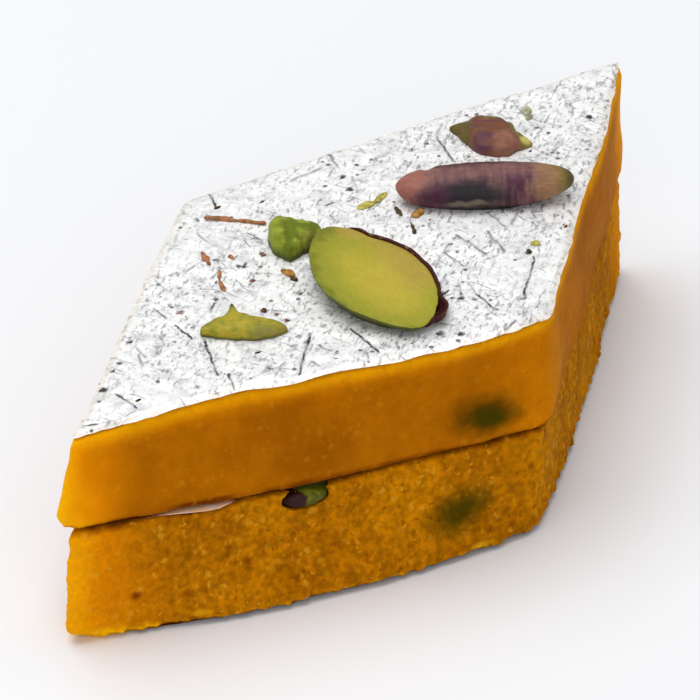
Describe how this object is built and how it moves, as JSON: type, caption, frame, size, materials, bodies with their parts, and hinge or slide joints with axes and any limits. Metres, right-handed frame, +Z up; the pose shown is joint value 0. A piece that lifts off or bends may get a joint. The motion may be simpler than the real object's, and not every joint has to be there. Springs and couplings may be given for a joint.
{
  "type": "barfi",
  "caption": "Diamond-cut barfi, a mango-yellow milk sweet laid piece on piece, each covered with silver leaf, the top one set with split and chopped pistachios.",
  "frame": {"origin": "on the ground under the middle of the stack", "axes": "+X along the long diagonal, towards the tip that pointed to the middle of the serving; +Y across it, away from the front cut face; +Z up"},
  "size_m": [0.0727, 0.0343, 0.0238],
  "materials": {
    "barfi_lower": "food: moist mango fudge, grainy cut face, slightly translucent",
    "barfi_upper": "food: moist mango fudge, smooth cut face, slightly translucent",
    "silver_leaf": "beaten silver leaf, bright, finely creased and torn",
    "pistachio_flesh": "food: cut pistachio, yellow-green",
    "pistachio_green": "food: chopped pistachio, green",
    "pistachio_skin": "food: purple-brown pistachio skin, finely wrinkled",
    "pistachio_brown": "food: pistachio with rose-brown skin"
  },
  "bodies": {
    "root": {"lower_barfi": "barfi_lower", "upper_barfi": "barfi_upper", "lower_silver_leaf": "silver_leaf", "upper_silver_leaf": "silver_leaf", "pistachio_half": "pistachio_flesh", "pistachio_sliver": "pistachio_flesh", "pistachio_green_chip": "pistachio_green", "pistachio_in_seam": "pistachio_green", "pistachio_dark": "pistachio_skin", "pistachio_brown_chip": "pistachio_brown"}
  },
  "joints": []
}
